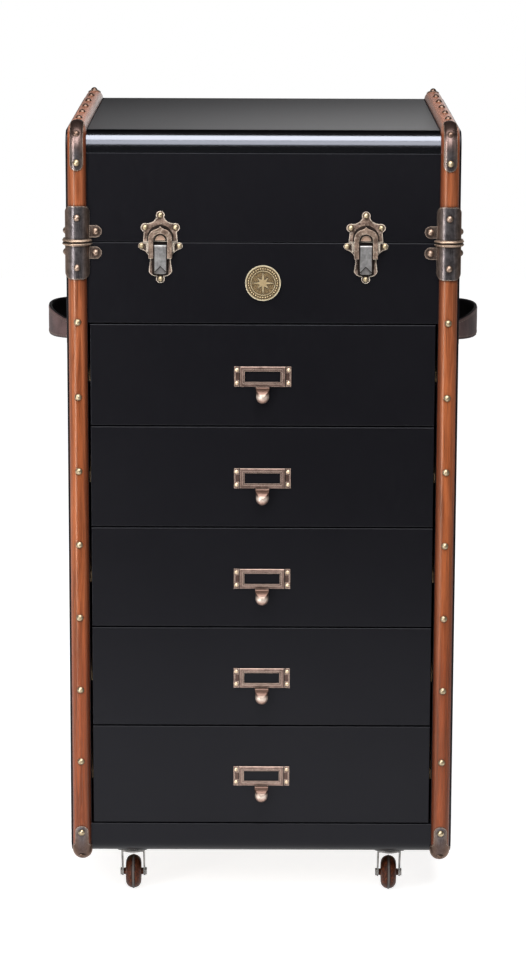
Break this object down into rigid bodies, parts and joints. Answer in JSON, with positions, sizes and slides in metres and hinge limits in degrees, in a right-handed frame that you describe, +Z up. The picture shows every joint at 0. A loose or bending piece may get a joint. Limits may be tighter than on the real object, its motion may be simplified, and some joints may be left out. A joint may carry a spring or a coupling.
{
  "type": "jewelry armoire",
  "caption": "Tall trunk-style jewellery armoire with drawers, a hinged lid over a lined well, latches, side handles and swivel casters.",
  "frame": {"origin": "centre of the whole chest's footprint, at the floor", "axes": "+Z up, +X to the viewer's right along the width, -Y out of the drawer fronts"},
  "size_m": [0.636, 0.554, 1.1406],
  "materials": {
    "black_lacquer": "satin black lacquer on board, fine grain",
    "polished_lacquer": "high-gloss black lacquer on a rounded hardwood moulding",
    "rail_wood": "oiled reddish-brown hardwood, half gloss",
    "inner_wood": "sealed birch, matt",
    "aged_bronze": "aged bronze plate, worn bright on its edges",
    "nail_brass": "polished domed brass, slightly aged",
    "badge_brass": "antique brass, darker in the recesses",
    "copper_bronze": "coppery bronze, polished",
    "worn_steel": "worn silver plate",
    "handle_leather": "very dark brown harness leather, stitched",
    "tray_velvet": "wine-red velvet over board",
    "mirror_glass": "silvered glass",
    "caster_nickel": "satin nickel plate",
    "wheel_rubber": "brown rubber tyre, satin"
  },
  "bodies": {
    "cabinet": {"cabinet_sides": "black_lacquer", "back_panel": "black_lacquer", "bottom_board": "inner_wood", "plinth": "black_lacquer", "well_front": "black_lacquer", "well_floor": "inner_wood", "front_posts": "black_lacquer", "drawer_runners": "inner_wood", "cabinet_rail_left": "rail_wood", "cabinet_rail_right": "rail_wood", "bottom_corner_caps": "aged_bronze", "lower_sleeves": "aged_bronze", "cabinet_nails": "nail_brass", "badge": "badge_brass", "handle_left": "handle_leather", "handle_right": "handle_leather", "handle_brackets": "aged_bronze", "latch_lower_plates": "aged_bronze", "hinge_lower_leaves": "nail_brass", "caster_plates": "caster_nickel", "jewelry_tray": "tray_velvet"},
    "lid": {"lid_front": "black_lacquer", "lid_nosing": "polished_lacquer", "lid_top": "black_lacquer", "lid_sides": "black_lacquer", "lid_back": "black_lacquer", "lid_rails": "rail_wood", "top_corner_straps": "aged_bronze", "upper_sleeves": "aged_bronze", "lid_nails": "nail_brass", "latch_catch_plates": "aged_bronze", "lid_mirror": "mirror_glass", "hinge_upper_leaves": "nail_brass"},
    "drawer_1": {"drawer_1_front": "black_lacquer", "drawer_1_box": "inner_wood", "drawer_1_pull": "aged_bronze"},
    "drawer_2": {"drawer_2_front": "black_lacquer", "drawer_2_box": "inner_wood", "drawer_2_pull": "aged_bronze"},
    "drawer_3": {"drawer_3_front": "black_lacquer", "drawer_3_box": "inner_wood", "drawer_3_pull": "aged_bronze"},
    "drawer_4": {"drawer_4_front": "black_lacquer", "drawer_4_box": "inner_wood", "drawer_4_pull": "aged_bronze"},
    "drawer_5": {"drawer_5_front": "black_lacquer", "drawer_5_box": "inner_wood", "drawer_5_pull": "aged_bronze"},
    "lever_left": {"latch_lever_left": "worn_steel"},
    "bail_left": {"latch_bail_left": "copper_bronze"},
    "lever_right": {"latch_lever_right": "worn_steel"},
    "bail_right": {"latch_bail_right": "copper_bronze"},
    "fork_front_left": {"caster_fork_front_left": "caster_nickel"},
    "wheel_front_left": {"caster_wheel_front_left": "wheel_rubber"},
    "fork_front_right": {"caster_fork_front_right": "caster_nickel"},
    "wheel_front_right": {"caster_wheel_front_right": "wheel_rubber"},
    "fork_rear_left": {"caster_fork_rear_left": "caster_nickel"},
    "wheel_rear_left": {"caster_wheel_rear_left": "wheel_rubber"},
    "fork_rear_right": {"caster_fork_rear_right": "caster_nickel"},
    "wheel_rear_right": {"caster_wheel_rear_right": "wheel_rubber"}
  },
  "joints": [
    {"name": "lid_hinge", "type": "hinge", "parent": "cabinet", "child": "lid", "pos_m": [0, 0.2647, 0.9685], "axis": [-1, 0, 0], "range_deg": [0, 95]},
    {"name": "drawer_1_slide", "type": "slide", "parent": "cabinet", "child": "drawer_1", "axis": [0, -1, 0], "range_m": [0, 0.32]},
    {"name": "drawer_2_slide", "type": "slide", "parent": "cabinet", "child": "drawer_2", "axis": [0, -1, 0], "range_m": [0, 0.32]},
    {"name": "drawer_3_slide", "type": "slide", "parent": "cabinet", "child": "drawer_3", "axis": [0, -1, 0], "range_m": [0, 0.32]},
    {"name": "drawer_4_slide", "type": "slide", "parent": "cabinet", "child": "drawer_4", "axis": [0, -1, 0], "range_m": [0, 0.32]},
    {"name": "drawer_5_slide", "type": "slide", "parent": "cabinet", "child": "drawer_5", "axis": [0, -1, 0], "range_m": [0, 0.32]},
    {"name": "lever_left_pivot", "type": "hinge", "parent": "cabinet", "child": "lever_left", "pos_m": [-0.144, -0.2644, 0.9631], "axis": [-1, 0, 0], "range_deg": [0, 120]},
    {"name": "bail_left_pivot", "type": "hinge", "parent": "lever_left", "child": "bail_left", "pos_m": [-0.144, -0.2644, 0.9489], "axis": [1, 0, 0], "range_deg": [0, 145]},
    {"name": "lever_right_pivot", "type": "hinge", "parent": "cabinet", "child": "lever_right", "pos_m": [0.144, -0.2644, 0.9631], "axis": [-1, 0, 0], "range_deg": [0, 120]},
    {"name": "bail_right_pivot", "type": "hinge", "parent": "lever_right", "child": "bail_right", "pos_m": [0.144, -0.2644, 0.9489], "axis": [1, 0, 0], "range_deg": [0, 145]},
    {"name": "fork_front_left_swivel", "type": "hinge", "parent": "cabinet", "child": "fork_front_left", "pos_m": [-0.188, -0.2156, 0.066], "axis": [0, 0, 1], "continuous": true},
    {"name": "wheel_front_left_spin", "type": "hinge", "parent": "fork_front_left", "child": "wheel_front_left", "pos_m": [-0.188, -0.1976, 0.0252], "axis": [1, 0, 0], "continuous": true},
    {"name": "fork_front_right_swivel", "type": "hinge", "parent": "cabinet", "child": "fork_front_right", "pos_m": [0.188, -0.2156, 0.066], "axis": [0, 0, 1], "continuous": true},
    {"name": "wheel_front_right_spin", "type": "hinge", "parent": "fork_front_right", "child": "wheel_front_right", "pos_m": [0.188, -0.1976, 0.0252], "axis": [1, 0, 0], "continuous": true},
    {"name": "fork_rear_left_swivel", "type": "hinge", "parent": "cabinet", "child": "fork_rear_left", "pos_m": [-0.188, 0.1804, 0.066], "axis": [0, 0, 1], "continuous": true},
    {"name": "wheel_rear_left_spin", "type": "hinge", "parent": "fork_rear_left", "child": "wheel_rear_left", "pos_m": [-0.188, 0.1984, 0.0252], "axis": [1, 0, 0], "continuous": true},
    {"name": "fork_rear_right_swivel", "type": "hinge", "parent": "cabinet", "child": "fork_rear_right", "pos_m": [0.188, 0.1804, 0.066], "axis": [0, 0, 1], "continuous": true},
    {"name": "wheel_rear_right_spin", "type": "hinge", "parent": "fork_rear_right", "child": "wheel_rear_right", "pos_m": [0.188, 0.1984, 0.0252], "axis": [1, 0, 0], "continuous": true}
  ],
  "couplings": [
    {"joint": "bail_left_pivot", "follows": "lever_left_pivot", "ratio": 1.2},
    {"joint": "bail_right_pivot", "follows": "lever_right_pivot", "ratio": 1.2}
  ]
}
